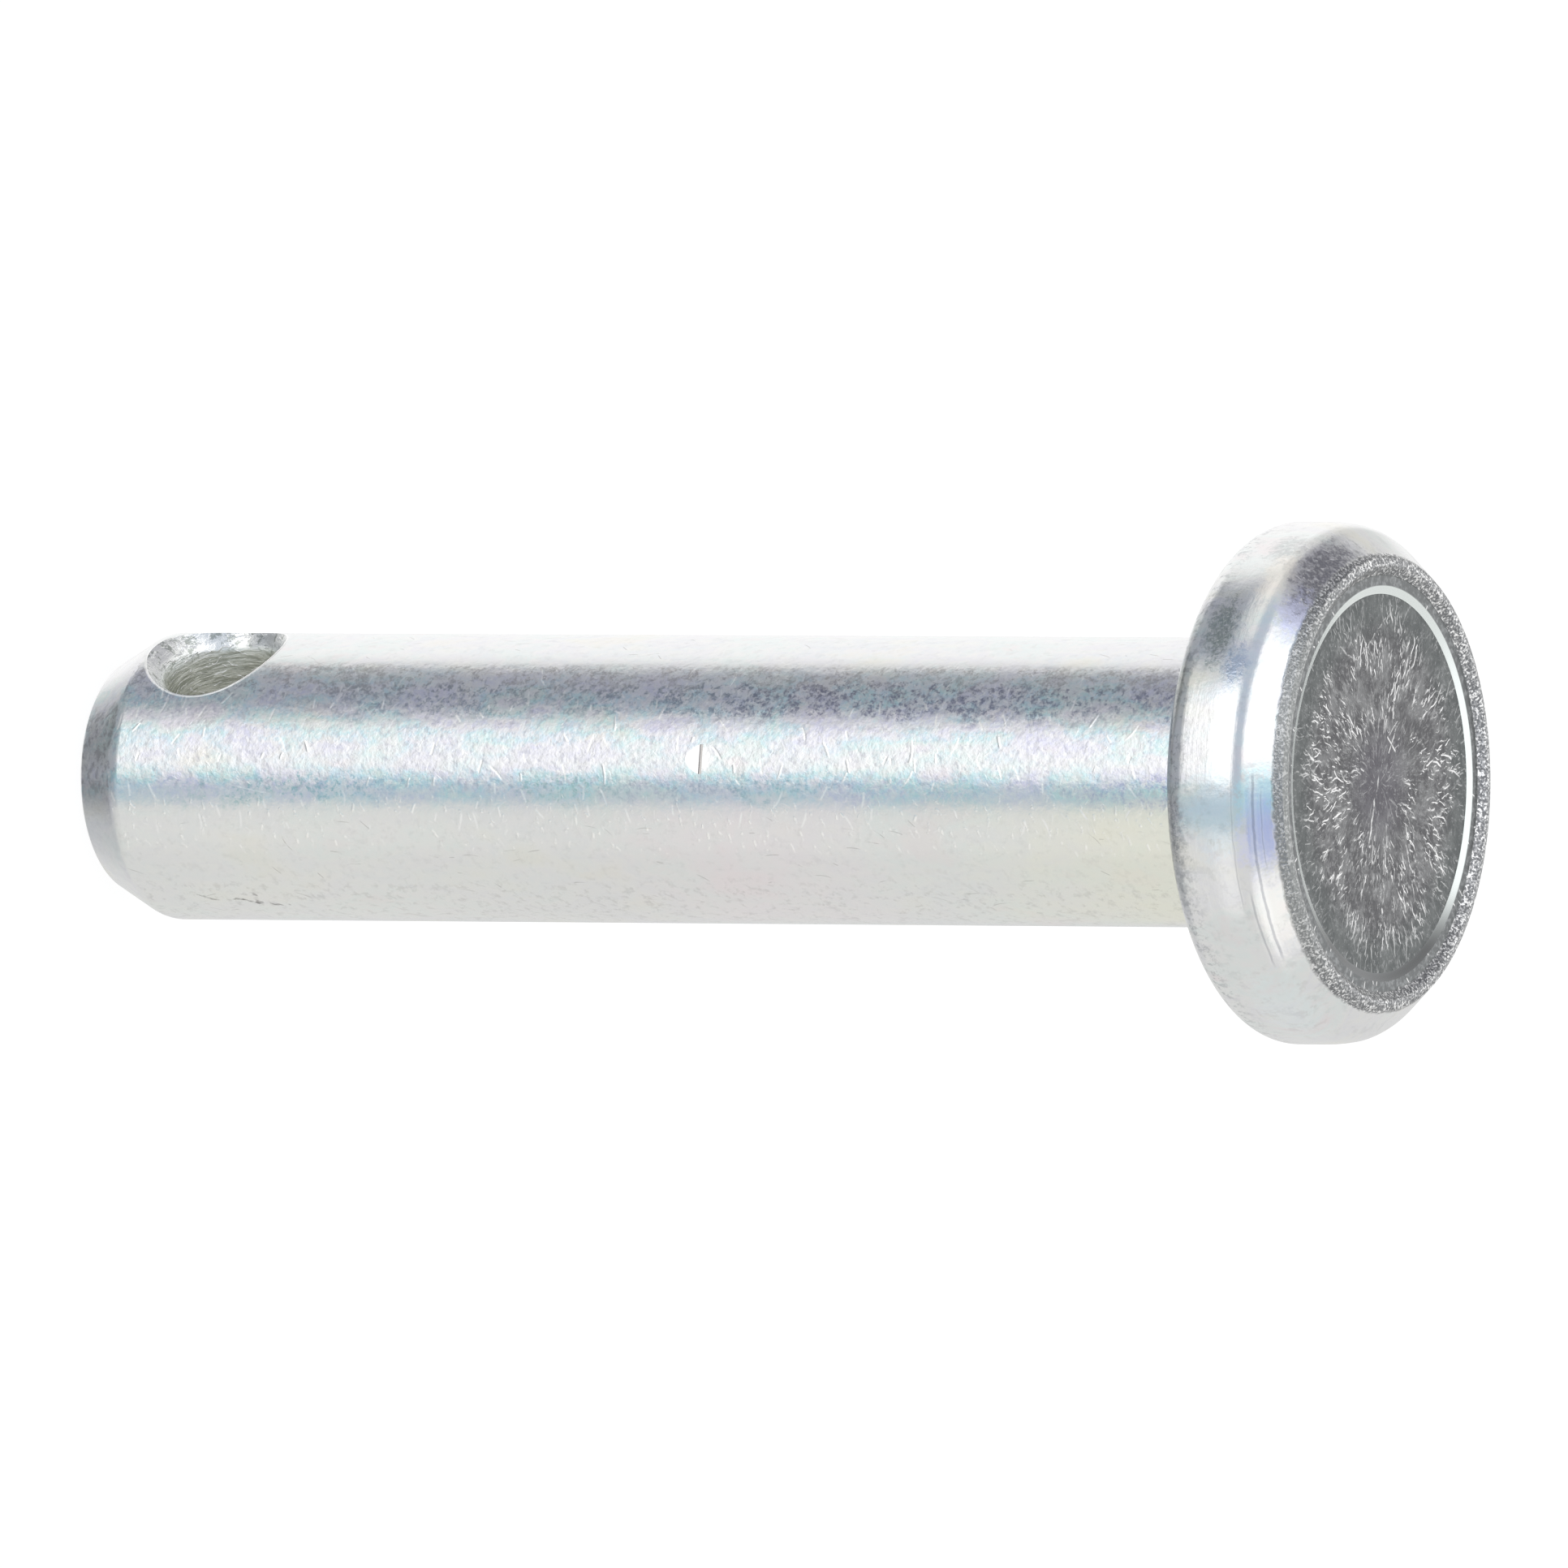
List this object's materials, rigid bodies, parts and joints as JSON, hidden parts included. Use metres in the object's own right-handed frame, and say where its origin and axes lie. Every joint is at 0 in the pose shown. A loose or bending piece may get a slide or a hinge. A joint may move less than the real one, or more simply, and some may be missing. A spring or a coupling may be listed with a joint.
{
  "type": "clevis pin",
  "caption": "Straight clevis pin in one piece: round shank with a bevelled tip and a cross hole for a split pin, and a low round head with a shallow round recess.",
  "frame": {"origin": "centre of the flat tip, where the pin stands", "axes": "+Z along the pin's axis from the tip to the head, +X along the cross hole"},
  "size_m": [0.018, 0.018, 0.0493],
  "materials": {
    "plated_steel": "bright zinc plating with a thin blue-clear passivation, fine tumbling scratches, darker struck face on the head"
  },
  "bodies": {
    "root": {"clevis_pin": "plated_steel"}
  },
  "joints": []
}
